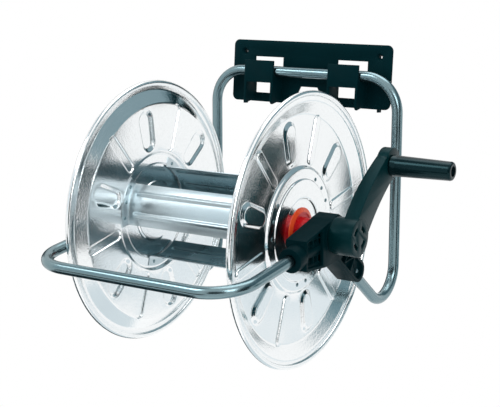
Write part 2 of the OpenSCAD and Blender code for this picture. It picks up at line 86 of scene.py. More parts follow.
class ReelPressings(bpy.types.PropertyGroup):
    """Sizes of the pressed sheet pieces of the drum."""

    phase: FloatProperty(name="Drum Turn", description="Angle of the first slat and pocket about the axle",
                         default=math.radians(45.5), subtype="ANGLE")
    sheet: FloatProperty(name="Sheet", description="Thickness of a disc", default=0.0012, unit="LENGTH")
    rib_height: FloatProperty(name="Rib Height", description="How far a radial rib stands out",
                              default=0.0022, unit="LENGTH")
    pocket_height: FloatProperty(name="Pocket Height", description="How far a pocket is pressed out",
                                 default=0.0035, unit="LENGTH")
    bead_height: FloatProperty(name="Bead Height", description="How far a slat's bead stands out",
                               default=0.0028, unit="LENGTH")
    spokes: IntProperty(name="Ribs", description="Number of ribs, and of pockets, in a disc", default=6,
                        min=3)


class ReelColours(bpy.types.PropertyGroup):
    """Colours of the finishes."""

    sheet_zinc: FloatVectorProperty(name="Drum Zinc", description="Zinc plate on the pressed sheet", size=4,
                                    subtype="COLOR", default=linear("#fbfeff"))
    slat_zinc: FloatVectorProperty(name="Slat Zinc", description="Zinc plate on the rolled slats", size=4,
                                   subtype="COLOR", default=linear("#ccd9de"))
    # Darker copy of the slat zinc for the faces that look into the drum: painted shade inside the drum
    painted_shade_inside_zinc: FloatVectorProperty(name="Inside Zinc", description="Duller zinc plate inside the drum",
                                     size=4, subtype="COLOR", default=linear("#688891"))
    tube_zinc: FloatVectorProperty(name="Tube Zinc", description="Zinc plate on the drawn tube", size=4,
                                   subtype="COLOR", default=linear("#7f979d"))
    black: FloatVectorProperty(name="Black Moulding", description="Black polypropylene", size=4,
                               subtype="COLOR", default=linear("#00181c"))
    # Paler than the polypropylene black: painted light, as the crank arm is more lit than the blocks
    arm: FloatVectorProperty(name="Crank Arm", description="Black nylon of the crank arm", size=4,
                             subtype="COLOR", default=linear("#001e21"))
    grip: FloatVectorProperty(name="Grip", description="Polished black grip", size=4, subtype="COLOR",
                              default=linear("#031114"))
    red: FloatVectorProperty(name="Hub Red", description="Red acetal hub", size=4, subtype="COLOR",
                             default=linear("#cf1420"))


class ReelStudio(bpy.types.PropertyGroup):
    """Sizes of the stage."""

    focal: FloatProperty(name="Lens", description="Focal length on a 36 mm sensor", default=85.68,
                         unit="CAMERA")
    floor_drop: FloatProperty(name="Floor Drop", description="Floor below the reel", default=0.55,
                              unit="LENGTH")


def add_node(tree, kind, inputs=None, **settings):
    """Adds a node with its settings, and sets or links its inputs."""
    node = tree.nodes.new(kind)
    for name, value in settings.items():
        setattr(node, name, value)
    for name, value in (inputs or {}).items():
        if isinstance(value, bpy.types.NodeSocket):
            tree.links.new(value, node.inputs[name])
        else:
            node.inputs[name].default_value = value
    return node


def new_surface(name):
    """A material with an empty tree, the tree, and its object coordinates."""
    material = bpy.data.materials.new(name)
    material.use_nodes = True
    tree = material.node_tree
    tree.nodes.clear()
    place = add_node(tree, "ShaderNodeTexCoord").outputs["Object"]
    return material, tree, place


def close_surface(tree, shader):
    """Links a shader's output to the material's."""
    add_node(tree, "ShaderNodeOutputMaterial", {"Surface": shader.outputs[0]})


def per_metre(size_mm):
    """Scale of a pattern whose features are about that large."""
    return 1 / (size_mm * MM)


def shade(colour, factor):
    """The colour made darker or paler by a factor."""
    return [part * factor for part in colour[:3]] + [1.0]


def patches(tree, place, size_mm, detail, low, high):
    """Soft patches of about that size, and a value that drifts with them from low to high."""
    cloud = add_node(tree, "ShaderNodeTexNoise", {
        "Vector": place, "Scale": per_metre(size_mm), "Detail": detail})
    # Noise seldom leaves the range from 0.3 to 0.7.
    drift = add_node(tree, "ShaderNodeMapRange", {
        "Value": cloud.outputs["Fac"], "From Min": 0.3, "From Max": 0.7, "To Min": low, "To Max": high})
    return cloud.outputs["Fac"], drift.outputs["Result"]


# Width of a plating crystal, drawn coarser than the real ones so that it shows, and of a duller patch
CRYSTAL_MM = 2.3256
DULL_PATCH_MM = 29.41


def zinc_plate(name, colour, roughness, wave_mm, wave_height, grain_height):
    """Bright zinc plate on rolled steel: a mirror blurred by the plating's crystals, over slow waves."""
    material, tree, place = new_surface(name)
    waves = add_node(tree, "ShaderNodeTexNoise", {
        "Vector": place, "Scale": per_metre(wave_mm), "Detail": 1.5})
    grain = add_node(tree, "ShaderNodeTexNoise", {
        "Vector": place, "Scale": per_metre(CRYSTAL_MM), "Detail": 4.0})
    _, rough = patches(tree, place, DULL_PATCH_MM, detail=4.0, low=roughness * 0.9, high=roughness * 1.12)
    tone = add_node(tree, "ShaderNodeMix", {
        "Factor": grain.outputs["Fac"], 6: colour, 7: shade(colour, 0.87)}, data_type="RGBA")
    slow = add_node(tree, "ShaderNodeBump", {
        "Height": waves.outputs["Fac"], "Strength": 1.0, "Distance": wave_height * MM})
    fine = add_node(tree, "ShaderNodeBump", {
        "Height": grain.outputs["Fac"], "Strength": 1.0, "Distance": grain_height * MM,
        "Normal": slow.outputs["Normal"]})
    close_surface(tree, add_node(tree, "ShaderNodeBsdfPrincipled", {
        "Base Color": tone.outputs[2], "Metallic": 1.0, "Roughness": rough,
        "Normal": fine.outputs["Normal"]}))
    return material


# Cool tint of the light that black mouldings throw back, and the size of a scuffed patch on them
MOULDED_SHEEN = "#9fe4f0"
SCUFF_MM = 45.45


def moulded_black(name, colour, roughness, gloss, grain_mm, grain_depth):
    """Black plastic or rubber from a spark-eroded mould: a satin skin with fine grain and paler scuffs."""
    material, tree, place = new_surface(name)
    grain = add_node(tree, "ShaderNodeTexNoise", {
        "Vector": place, "Scale": per_metre(grain_mm), "Detail": 2.0})
    scuffs, rough = patches(tree, place, SCUFF_MM, detail=4.0, low=roughness * 0.85, high=roughness * 1.2)
    tone = add_node(tree, "ShaderNodeMix", {
        "Factor": scuffs, 6: colour, 7: shade(colour, 1.6)}, data_type="RGBA")
    bump = add_node(tree, "ShaderNodeBump", {
        "Height": grain.outputs["Fac"], "Strength": 0.35, "Distance": grain_depth * MM})
    close_surface(tree, add_node(tree, "ShaderNodeBsdfPrincipled", {
        "Base Color": tone.outputs[2], "Roughness": rough, "IOR": 1.49, "Specular IOR Level": gloss,
        "Specular Tint": linear(MOULDED_SHEEN), "Normal": bump.outputs["Normal"]}))
    return material


# Radii between which a hub's flange thins to its rim and its red turns to the rim's orange, which is painted
# light; that orange; and the size of a flow mark in the acetal. Sizes are in millimetres.
PAINTED_LIGHT_RIM_RADII = (24.5, 26.5)
PAINTED_LIGHT_RIM_ORANGE = "#f0562a"
FLOW_MARK_MM = 16.67


def acetal_red(name, colour):
    """Red acetal with a waxy gloss, and an orange rim painted in as painted light."""
    material, tree, place = new_surface(name)
    away = add_node(tree, "ShaderNodeVectorMath", {0: place, 1: AXLE}, operation="SUBTRACT")
    around = add_node(tree, "ShaderNodeVectorMath", {0: away.outputs["Vector"], 1: (0.0, 1.0, 1.0)},
                      operation="MULTIPLY")
    reach = add_node(tree, "ShaderNodeVectorMath", {0: around.outputs["Vector"]}, operation="LENGTH")
    # Share of the rim's orange by distance from the axle: painted light
    edge = add_node(tree, "ShaderNodeMapRange", {
        "Value": reach.outputs["Value"], "From Min": PAINTED_LIGHT_RIM_RADII[0] * MM, "From Max": PAINTED_LIGHT_RIM_RADII[1] * MM})
    tone = add_node(tree, "ShaderNodeMix", {
        "Factor": edge.outputs["Result"], 6: colour, 7: linear(PAINTED_LIGHT_RIM_ORANGE)}, data_type="RGBA")
    _, rough = patches(tree, place, FLOW_MARK_MM, detail=2.0, low=0.22, high=0.34)
    close_surface(tree, add_node(tree, "ShaderNodeBsdfPrincipled", {
        "Base Color": tone.outputs[2], "Roughness": rough, "IOR": 1.48}))
    return material


def make_finishes(colours):
    """Every finish by name, from the colours in the scene. Waves and grain are in millimetres."""
    return {
        "sheet": zinc_plate("zinc_plated_sheet", list(colours.sheet_zinc), roughness=0.14,
                            wave_mm=80, wave_height=0.03, grain_height=0.13),
        "slat": zinc_plate("zinc_plated_slat", list(colours.slat_zinc), roughness=0.3,
                           wave_mm=80, wave_height=0.03, grain_height=0.05),
        # The slats' inner faces: the slat zinc darkened as painted shade inside the drum
        "inside": zinc_plate("zinc_plated_slat_painted_inside_shade", list(colours.painted_shade_inside_zinc), roughness=0.28,
                             wave_mm=80, wave_height=0.03, grain_height=0.05),
        "tube": zinc_plate("zinc_plated_tube", list(colours.tube_zinc), roughness=0.22,
                           wave_mm=60, wave_height=0.06, grain_height=0.02),
        "fixing": zinc_plate("zinc_plated_fixing", list(colours.tube_zinc), roughness=0.3,
                             wave_mm=20, wave_height=0.05, grain_height=0.01),
        "black": moulded_black("moulded_polypropylene", list(colours.black), roughness=0.5, gloss=0.07,
                               grain_mm=0.9, grain_depth=0.06),
        # The arm's nylon is glossier, and its paler black is painted light
        "arm": moulded_black("moulded_nylon_painted_lighter", list(colours.arm), roughness=0.36, gloss=0.16,
                             grain_mm=0.9, grain_depth=0.04),
        "grip": moulded_black("polished_grip", list(colours.grip), roughness=0.16, gloss=0.3,
                              grain_mm=6, grain_depth=0.02),
        "red": acetal_red("red_acetal", list(colours.red)),
        "seal": moulded_black("nitrile_rubber", linear("#0b0b0b"), roughness=0.6, gloss=0.2,
                              grain_mm=0.6, grain_depth=0.03),
    }


FINISHES = {}


def finish(name):
    """The finish of that name. All are made on the first use."""
    if not FINISHES:
        FINISHES.update(make_finishes(bpy.context.scene.reel_colours))
    return FINISHES[name]


def coat(obj, name):
    """Gives the object one finish all over."""
    obj.data.materials.clear()
    obj.data.materials.append(finish(name))


def place_piece(name, mesh, body, nodes, finish_name):
    """Makes a mesh the visible piece for some nodes of a body."""
    obj = bpy.data.objects.new(name, mesh)
    bpy.context.scene.collection.objects.link(obj)
    coat(obj, finish_name)
    mesh.polygons.foreach_set("use_smooth", [True] * len(mesh.polygons))
    mesh.set_sharp_from_angle(angle=SMOOTH_ANGLE)
    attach(obj, body)
    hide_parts(*nodes)


def mesh_from(name, points, faces):
    """A mesh from points and faces, with its faces turned outwards."""
    mesh = bpy.data.meshes.new(name)
    mesh.from_pydata(points, [], faces)
    shape = bmesh.new()
    shape.from_mesh(mesh)
    bmesh.ops.recalc_face_normals(shape, faces=shape.faces)
    shape.to_mesh(mesh)
    shape.free()
    return mesh


def rise(value, start, end):
    """Smooth step from 0 at start to 1 at end."""
    t = min(max((value - start) / (end - start), 0.0), 1.0)
    return t * t * (3 - 2 * t)


def swell(distance, width):
    """Rounded bump that is 1 on its middle line and 0 at its edge."""
    t = min(max(distance / width, 0.0), 1.0)
    return 0.5 * (1 + math.cos(math.pi * t))


def ramp(value, start, end, soft):
    """Straight slope from 0 at start to 1 at end, rounded over at both ends."""
    def knee(t):
        return max(t, 0.0) if abs(t) > soft else (t + soft) ** 2 / (4 * soft)
    return (knee(value - start) - knee(value - end)) / (end - start)


def off_line(x, y, ends):
    """Distance of a point from the stretch of the X axis between two ends."""
    return math.hypot(x - min(max(x, ends[0]), ends[1]), y)


def outline(ends, radii, arc=24, side=10):
    """Points round a capsule along X, with the centres and radii of its two end arcs."""
    lean = math.asin((radii[1] - radii[0]) / (ends[1] - ends[0]))
    arcs = []
    for centre, radius, first, turn in ((ends[1], radii[1], math.pi / 2 + lean, math.pi + 2 * lean),
                                        (ends[0], radii[0], -math.pi / 2 - lean, math.pi - 2 * lean)):
        angles = [first - turn * i / arc for i in range(arc + 1)]
        arcs.append([Vector((centre + radius * math.cos(a), radius * math.sin(a))) for a in angles])
    far, near = arcs
    steps = [i / (side + 1) for i in range(1, side + 1)]
    return (far + [far[-1].lerp(near[0], t) for t in steps]
            + near + [near[-1].lerp(far[0], t) for t in steps])


# Sizes from here to the rivets are in millimetres.
# Inner face of a disc at its hub, from the drum's middle
HUB_LEVEL = 121.0
# Steps of a disc from the hub outwards: rise, radii where it starts and ends, rounding of its corners
DISC_STEPS = (
    (2.2, 43, 44.6, 0.5),
    (-1.8, 69.4, 70.6, 0.5),
    (-4.0, 84, 88, 1.2),
    (10.4, 158, 176, 2.0),
)
# Points round each ring of a disc
RING_TURNS = 240
# Rings from the hub's hole to the field, loose rings at the field's two bends, and rings out to the roll
CENTRE_RADII = (15.05, 22, 30, 36, 40, 42, 42.6, 43.1, 43.6, 44.1, 44.6, 45.2, 47, 52, 58, 64, 67.5, 68.8,
                69.2, 69.6, 70, 70.4, 70.8, 71.2, 72.5, 76, 80, 82)
FIELD_RADII = (82.9, 83.7, 84.5, 85.4, 86.6, 87.5, 88.3, 89.1, 155.9, 156.9, 157.9, 158.9, 159.9, 161)
RIM_RADII = (162, 164, 167, 170, 173, 174, 175, 176, 177, 178, 180, 182.04)
# Rolled rim: its radius, the radius that its centre lies on, and how far round the sheet is rolled
ROLL_R = 4.0
ROLL_RING = 186.0
ROLL_SWEEP = math.radians(342.8)
ROLL_STEPS = 22
# Pocket: centres and radii of its end arcs. Its wall starts at a margin outside that outline, and its loops
# of points lie at the other margins.
POCKET_ENDS = (105.5, 137.0)
POCKET_RADII = (12.5, 14.5)
POCKET_FOOT = 3.0
POCKET_WALL = 7.4
POCKET_MARGINS = (3.4, 2.8, 2.2, 1.5, 0.8, 0.1, -0.6, -1.3, -2.0, -2.8, -3.6, -4.6, -6.0)
# Rib: ends of its middle line, half width at the foot of its wall, width of the wall, half widths of its
# loops of points, and the distance that the field's other points keep from its middle line
RIB_ENDS = (97.0, 152.5)
RIB_FOOT = 8.1
RIB_WALL = 2.4
RIB_WIDTHS = (8.7, 8.1, 7.7, 7.3, 6.9, 6.5, 6.1, 5.7, 5.0, 3.0)
RIB_CLEAR = 9.4


def disc_level(r):
    """Inner face of a disc from the drum's middle at a radius."""
    return HUB_LEVEL + sum(height * ramp(r, start, end, soft) for height, start, end, soft in DISC_STEPS)


def circle(r):
    """Points of one ring of a disc."""
    turns = [math.tau * k / RING_TURNS for k in range(RING_TURNS)]
    return [Vector((r * math.cos(a), r * math.sin(a))) for a in turns]


def disc_field(press):
    """Points, press heights and triangles of a disc's field with its pockets and ribs."""
    points, lifts, edges = [], [], []

    def add_loop(loop, lift, angle=0.0):
        first = len(points)
        turn = Matrix.Rotation(angle, 2)
        points.extend(turn @ p for p in loop)
        lifts.extend([lift] * len(loop))
        edges.extend((i, i + 1) for i in range(first, len(points) - 1))
        edges.append((len(points) - 1, first))

    add_loop(circle(CENTRE_RADII[-1]), 0.0)
    add_loop(circle(RIM_RADII[0]), 0.0)
    spoke = math.tau / press.spokes
    for r in FIELD_RADII:
        for point in circle(r):
            off = math.atan2(point.y, point.x) % spoke - spoke / 2
            if off_line(r * math.cos(off), r * math.sin(off), RIB_ENDS) > RIB_CLEAR:
                points.append(point)
                lifts.append(0.0)
    pocket, rib = press.pocket_height / MM, press.rib_height / MM
    for k in range(press.spokes):
        for margin in POCKET_MARGINS:
            loop = outline(POCKET_ENDS, [r + margin for r in POCKET_RADII])
            add_loop(loop, pocket * rise(POCKET_FOOT - margin, 0, POCKET_WALL), k * spoke)
        for width in RIB_WIDTHS:
            loop = outline(RIB_ENDS, (width, width), arc=16)
            add_loop(loop, rib * rise(RIB_FOOT - width, 0, RIB_WALL), (k + 0.5) * spoke)
    _, _, faces, origin, _, _ = delaunay_2d_cdt(points, edges, [], 0, 1e-4, True)
    faces = [[origin[i][0] for i in face] for face in faces]
    # Faces with no point beyond the first ring would close the disc's middle.
    return points, lifts, [face for face in faces if max(face) >= RING_TURNS]


class REEL_OT_discs(bpy.types.Operator):
    """Press the two drum discs with their ribs, pockets and rolled rims"""

    bl_idname = "reel.discs"
    bl_label = "Pressed Discs"

    def execute(self, context):
        press = context.scene.reel_pressings
        field = disc_field(press)
        for side, sign in SIDES:
            name = side + "_side_pressing"
            mesh = self.disc(name, sign, press, field)
            place_piece(name, mesh, "drum", [side + "_side_disc"], "sheet")
        return {"FINISHED"}

    def disc(self, name, sign, press, field):
        sheet = press.sheet / MM
        drum_turn = Matrix.Rotation(press.phase, 2)
        points, faces = [], []

        def place(x, spot):
            turned = drum_turn @ spot
            points.append(AXLE + Vector((sign * x, turned.x, turned.y)) * MM)
            return len(points) - 1

        def ring(r, x):
            return [place(x, spot) for spot in circle(r)]

        def join(rings):
            for a, b in zip(rings, rings[1:]):
                faces.extend((a[k - 1], a[k], b[k], b[k - 1]) for k in range(RING_TURNS))

        centre = [[ring(r, disc_level(r) + lift) for r in CENTRE_RADII] for lift in (0.0, sheet)]
        rim = [[ring(r, disc_level(r) + lift) for r in RIM_RADII] for lift in (0.0, sheet)]
        roll_level = disc_level(RIM_RADII[-1]) + sheet / 2
        turns = [ROLL_SWEEP * (0.5 - i / ROLL_STEPS) for i in range(1, ROLL_STEPS)]
        roll = [ring(ROLL_RING + ROLL_R * math.cos(a), roll_level + ROLL_R * math.sin(a)) for a in turns]
        join(centre[0][::-1] + centre[1])
        join(rim[1] + roll + rim[0][::-1])
        flat, lifts, triangles = field
        for inner, outer, lift in ((centre[0][-1], rim[0][0], 0.0), (centre[1][-1], rim[1][0], sheet)):
            # The field's first two loops are these rings, so only its other points are new.
            index = inner + outer
            for spot, push in list(zip(flat, lifts))[len(index) :]:
                index.append(place(disc_level(spot.length) + lift + push, spot))
            faces.extend([index[i] for i in face] for face in triangles)
        return mesh_from(name, points, faces)


# Slat: radius of its outer face, its thickness, half the length of its flat core, and its edges in degrees
SLAT_R = 67.0
SLAT_SHEET = 1.0
SLAT_CORE = 119.0
SLAT_EDGE = 26.5
SLATS = 3
# A slat's face belongs to the inside of the drum, and takes the darker zinc as painted shade, where its
# normal leans at least this far to the axle
INWARD = -0.3
# Tab at each end of a slat: its face from the drum's middle, the radii of its points, and its bend on the
# outer and inner faces, as insets from the tab and heights over the core
TAB_FACE = 120.4
TAB_RADII = (81, 74, 69)
OUTER_BEND = ((0.4, 0.6), (1.2, 0.1))
INNER_BEND = ((0.4, 1.0), (1.6, 0.1))
# Bead: end of its middle line, half its width, its place and the step between its points in degrees, and
# where points lie beyond its end
BEAD_END = 109.4
BEAD_HALF = 4.3
BEAD_TURN = 13
BEAD_STEP = 0.45
BEAD_BEYOND = (1.0, 1.8, 2.6, 3.4, 4.2, 5.2, 6.6, 8.6)


def slat_section(tab_x, core_r, bend, xs):
    """One face of a slat as X and radius: a tab, its bend, the core, and the other bend and tab."""
    tab = [(-tab_x, r) for r in TAB_RADII] + [(inset - tab_x, core_r + height) for inset, height in bend]
    return tab + [(x, core_r) for x in xs] + [(-x, r) for x, r in reversed(tab)]


def slat_mesh(press):
    """One slat at the drum's zero angle: a curved sheet with two beads and a tab turned out at each end."""
    lengths = [BEAD_END * i / 12 for i in range(13)] + [BEAD_END + beyond for beyond in BEAD_BEYOND]
    xs = sorted({round(sign * x, 3) for x in lengths for sign in (-1, 1)})
    outer = slat_section(TAB_FACE, SLAT_R, OUTER_BEND, xs)
    inner = slat_section(TAB_FACE + SLAT_SHEET, SLAT_R - SLAT_SHEET, INNER_BEND, xs)
    angles = {round(SLAT_EDGE * (i / 12 - 1), 3) for i in range(25)}
    angles |= {round(sign * BEAD_TURN + BEAD_STEP * i, 3) for sign in (-1, 1) for i in range(-9, 10)}
    angles = sorted(angles)
    loop = outer + inner[::-1]
    points, faces = [], []
    for degrees in angles:
        turn = math.radians(degrees)
        arc = SLAT_R * (turn - math.copysign(math.radians(BEAD_TURN), turn))
        for x, r in loop:
            bead = swell(off_line(x, arc, (-BEAD_END, BEAD_END)), BEAD_HALF) if abs(x) < SLAT_CORE else 0.0
            reach = r + press.bead_height / MM * bead
            points.append(Vector((x, reach * math.cos(turn), reach * math.sin(turn))) * MM)
    n, half = len(loop), len(outer)
    for k in range(len(angles) - 1):
        for i in range(n):
            j = (i + 1) % n
            faces.append((k * n + i, k * n + j, (k + 1) * n + j, (k + 1) * n + i))
    for k in (0, len(angles) - 1):
        for i in range(half - 1):
            faces.append((k * n + i, k * n + i + 1, k * n + n - 2 - i, k * n + n - 1 - i))
    return mesh_from("slat", points, faces)


# Rivet: the ring that rivets stand on, the X of their middles, and the degrees between those of one tab
RIVET_RING = 75.0
RIVET_X = 121.4
RIVET_STEP = 17.5
# Rivet's sizes: shank, radius and height of its domed head, where the head seats, end of its rolled tail
SHANK_R = 1.5
HEAD_R = 2.8
HEAD_HEIGHT = 1.15
HEAD_SEAT = 1.2
TAIL_END = -2.1
# Rolled tail as radii and distances from its end
TAIL_ROLL = ((0.8, 0.0), (1.7, 0.25), (2.5, 0.7), (2.75, 1.1), (SHANK_R, 1.1))
RIVET_TURNS = 20


def rivet_mesh():
    """One tubular rivet along X, its domed head outside and its rolled end inside."""
    profile = [(r, TAIL_END + along) for r, along in TAIL_ROLL] + [(SHANK_R, HEAD_SEAT), (HEAD_R, HEAD_SEAT)]
    dome = [math.radians(15 * i) for i in range(1, 6)]
    profile += [(HEAD_R * math.cos(a), HEAD_SEAT + HEAD_HEIGHT * math.sin(a)) for a in dome]
    points, faces = [], []
    for k in range(RIVET_TURNS):
        a = math.tau * k / RIVET_TURNS
        points += [Vector((x, r * math.cos(a), r * math.sin(a))) * MM for r, x in profile]
    n = len(profile)
    tail, crown = len(points), len(points) + 1
    points += [Vector((TAIL_END, 0, 0)) * MM, Vector((HEAD_SEAT + HEAD_HEIGHT, 0, 0)) * MM]
    for k in range(RIVET_TURNS):
        a, b = k * n, (k + 1) % RIVET_TURNS * n
        faces += [(a + i, a + i + 1, b + i + 1, b + i) for i in range(n - 1)]
        faces += [(tail, a, b), (crown, b + n - 1, a + n - 1)]
    return mesh_from("rivet", points, faces)


def ring_tree(name, material):
    """Geometry Nodes: sets copies of a piece round the X axis and makes them one mesh."""
    tree = bpy.data.node_groups.new(name, "GeometryNodeTree")
    sockets = tree.interface
    sockets.new_socket("Geometry", in_out="INPUT", socket_type="NodeSocketGeometry")
    sockets.new_socket("Count", in_out="INPUT", socket_type="NodeSocketInt")
    for label in ("Step", "First"):
        sockets.new_socket(label, in_out="INPUT", socket_type="NodeSocketFloat")
    sockets.new_socket("Geometry", in_out="OUTPUT", socket_type="NodeSocketGeometry")
    given = add_node(tree, "NodeGroupInput")
    line = add_node(tree, "GeometryNodeMeshLine", {
        "Count": given.outputs["Count"], "Offset": (0.0, 0.0, 0.0)})
    index = add_node(tree, "GeometryNodeInputIndex")
    turn = add_node(tree, "ShaderNodeMath", {
        0: index.outputs["Index"], 1: given.outputs["Step"], 2: given.outputs["First"]},
        operation="MULTIPLY_ADD")
    spin = add_node(tree, "ShaderNodeCombineXYZ", {"X": turn.outputs["Value"]})
    copies = add_node(tree, "GeometryNodeInstanceOnPoints", {
        "Points": line.outputs["Mesh"], "Instance": given.outputs["Geometry"],
        "Rotation": spin.outputs["Vector"]})
    solid = add_node(tree, "GeometryNodeRealizeInstances", {"Geometry": copies.outputs["Instances"]})
    painted = add_node(tree, "GeometryNodeSetMaterial", {
        "Geometry": solid.outputs["Geometry"], "Material": material})
    add_node(tree, "NodeGroupOutput", {"Geometry": painted.outputs["Geometry"]})
    return tree


def one_per_slat(name, mesh, material, press):
    """Runs the ring tree on a mesh, one copy for each slat, and returns the plain mesh about the axle."""
    obj = bpy.data.objects.new(name + "_source", mesh)
    bpy.context.scene.collection.objects.link(obj)
    tree = ring_tree(name + "_ring", material)
    modifier = obj.modifiers.new("Ring", "NODES")
    modifier.node_group = tree
    values = {"Count": SLATS, "Step": math.tau / SLATS, "First": press.phase}
    for item in tree.interface.items_tree:
        if item.in_out == "INPUT" and item.name in values:
            modifier[item.identifier] = values[item.name]
    deps = bpy.context.evaluated_depsgraph_get()
    made = bpy.data.meshes.new_from_object(obj.evaluated_get(deps))
    bpy.data.objects.remove(obj)
    made.transform(Matrix.Translation(AXLE))
    return made


class REEL_OT_slats(bpy.types.Operator):
    """Set the three pressed slats round the drum"""

    bl_idname = "reel.slats"
    bl_label = "Drum Slats"

    def execute(self, context):
        press = context.scene.reel_pressings
        mesh = one_per_slat("slats", slat_mesh(press), finish("slat"), press)
        nodes = ["rear_slat", "front_slat", "lower_slat"]
        place_piece("drum_slats", mesh, "drum", nodes, "slat")
        # Faces that look into the drum take the darker zinc: painted shade inside the drum
        mesh.materials.append(finish("inside"))
        for face in mesh.polygons:
            outwards = ((face.center - AXLE) * Vector((0, 1, 1))).normalized()
            face.material_index = 1 if face.normal.dot(outwards) < INWARD else 0
        return {"FINISHED"}


class REEL_OT_rivets(bpy.types.Operator):
    """Rivet the slats' tabs to the discs"""

    bl_idname = "reel.rivets"
    bl_label = "Rivets"

    def execute(self, context):
        press = context.scene.reel_pressings
        for side, sign in SIDES:
            mesh = one_per_slat(side + "_rivets", self.trio(side, sign), finish("fixing"), press)
            nodes = [side + "_side_rivets"]
            place_piece(side + "_side_rivet_heads", mesh, "drum", nodes, "fixing")
        return {"FINISHED"}

    def trio(self, side, sign):
        """The three rivets of one tab."""
        shape = bmesh.new()
        for step in (-RIVET_STEP, 0, RIVET_STEP):
            one = rivet_mesh()
            if sign < 0:
                one.transform(Matrix.Scale(-1, 4, (1, 0, 0)))
            one.transform(Matrix.Rotation(math.radians(step), 4, "X")
                          @ Matrix.Translation((sign * RIVET_X * MM, RIVET_RING * MM, 0)))
            shape.from_mesh(one)
        bmesh.ops.recalc_face_normals(shape, faces=shape.faces)
        mesh = bpy.data.meshes.new(side + "_rivet_trio")
        shape.to_mesh(mesh)
        shape.free()
        return mesh


# Mouldings: radius of a rounded edge in millimetres, least angle of an edge that is rounded, and the angle
# up to which the solid's triangles count as one flat face
EDGE_R = 0.6
EDGE_ANGLE = math.radians(32)
FLAT_ANGLE = math.radians(0.6)


def soften(node, body, finish_name):
    """Copies a node's mesh, rounds its sharp edges as a mould leaves them, and shows it in its place."""
    name = node + "_moulding"
    mesh = frame["nodes"][node].data.copy()
    mesh.name = name
    shape = bmesh.new()
    shape.from_mesh(mesh)
    bmesh.ops.remove_doubles(shape, verts=shape.verts, dist=2e-6)
    bmesh.ops.dissolve_limit(shape, angle_limit=FLAT_ANGLE, verts=shape.verts, edges=shape.edges)
    sharp = [e for e in shape.edges if e.is_manifold and e.calc_face_angle(0) > EDGE_ANGLE]
    bmesh.ops.bevel(shape, geom=sharp, offset=EDGE_R * MM, segments=2, profile=0.5, affect="EDGES",
                    clamp_overlap=False, loop_slide=True)
    shape.to_mesh(mesh)
    shape.free()
    place_piece(name, mesh, body, [node], finish_name)


class REEL_OT_mouldings(bpy.types.Operator):
    """Round the edges of the moulded pieces and finish them"""

    bl_idname = "reel.mouldings"
    bl_label = "Moulded Pieces"

    def execute(self, context):
        soften("wall_bracket", "bracket", "black")
        soften("crank_side_block", "frame", "black")
        soften("inlet_side_block", "frame", "black")
        soften("crank_arm", "drum", "arm")
        for node in ("inlet_fitting", "hose_elbow"):
            coat(frame["nodes"][node], "black")
        for node in ("crank_side_hub", "inlet_side_hub"):
            coat(frame["nodes"][node], "red")
        coat(frame["nodes"]["crank_grip"], "grip")
        return {"FINISHED"}


class REEL_OT_metalwork(bpy.types.Operator):
    """Finish the bent tubes, screws, pin and seals"""

    bl_idname = "reel.metalwork"
    bl_label = "Tubes and Fixings"

    def execute(self, context):
        for node in ("rear_frame_tube", "front_frame_tube"):
            coat(frame["nodes"][node], "tube")
        for node in ("tube_screws", "inlet_screws", "grip_pin"):
            coat(frame["nodes"][node], "fixing")
        coat(frame["nodes"]["inlet_seals"], "seal")
        return {"FINISHED"}


# Lamps: name, place in metres, side length and power
LAMPS = (
    ("key_box", (-1.2, -1.9, 1.5), 1.4, 34.0),
    ("side_box", (1.75, -1.5, 0.6), 1.0, 14.0),
    ("top_box", (0.1, 0.2, 1.9), 1.6, 16.0),
)

# Cards: name, colour, place from the drum's middle and the way it faces, then width and height in metres
CARDS = (
    ("low_front_card", "#0b3037", (-0.5, -1.3, -0.75), (0.5, 1.3, 0.75), 1.6, 0.7),
    ("left_back_card", "#0b3037", (-1.3, 1.2, -0.1), (1.3, -1.2, 0.1), 1.6, 1.6),
    ("under_card", "#0b3037", (-0.6, -0.05, -0.72), (0, 0, 1), 0.8, 1.3),
    ("under_right_card", "#d6e1e6", (0.25, 0.15, -0.72), (0, 0, 1), 0.9, 0.6),
    ("right_card", "#0b3037", (1.7, -0.1, -0.1), (-1, 0, 0), 0.9, 1.6),
    ("lens_side_card", "#0b3037", (1.1, -1.9, 0.3), (-1.1, 1.9, -0.3), 1.5, 1.5),
    ("high_back_card", "#0c3d45", (0.005, 1.737, 1.1), (-0.7, -1.0, -0.5), 0.7, 1.0),
    ("high_side_card", "#8199a1", (1.56, 0.66, 1.08), (-0.7, -1.0, -0.5), 3.1, 1.25),
    ("high_right_card", "#6b8992", (1.75, 0.7, 0.45), (-1.75, -0.7, -0.4), 0.7, 0.5),
    ("far_back_card", "#e4ecf0", (1.45, 2.0, -0.75), (-1.45, -2.0, 0.75), 1.6, 0.7),
    ("low_back_card", "#12707c", (1.52, 1.14, -0.3), (-1.52, -1.14, 0.3), 0.75, 0.5),
    ("front_left_card", "#d5e2e8", (-1.1, -1.7, 0.6), (1.1, 1.7, -0.6), 1.6, 1.3),
    ("ceiling_card", "#8fa6b0", (-0.9, -0.5, 1.5), (0, 0, -1), 1.2, 1.0),
)

WHITE = (1.0, 1.0, 1.0, 1.0)
# Strength of the white backdrop as a light on the pieces, beside the 1 that the camera and gloss see
SKY_FILL = 0.45
# Width of the floor, and how far from below the axle it fades out into the backdrop, in metres
FLOOR_WIDTH = 16.0
FLOOR_FADE = (0.25, 0.95)
# Camera and its target, in metres, as they stand to the frame while it is upright, and the frame's lean
EYE = Vector((0.9063, -1.6142, 0.1408))
AIM = Vector((0.0268, -0.2255, -0.1962))
HANG_LEAN = math.radians(4.5)


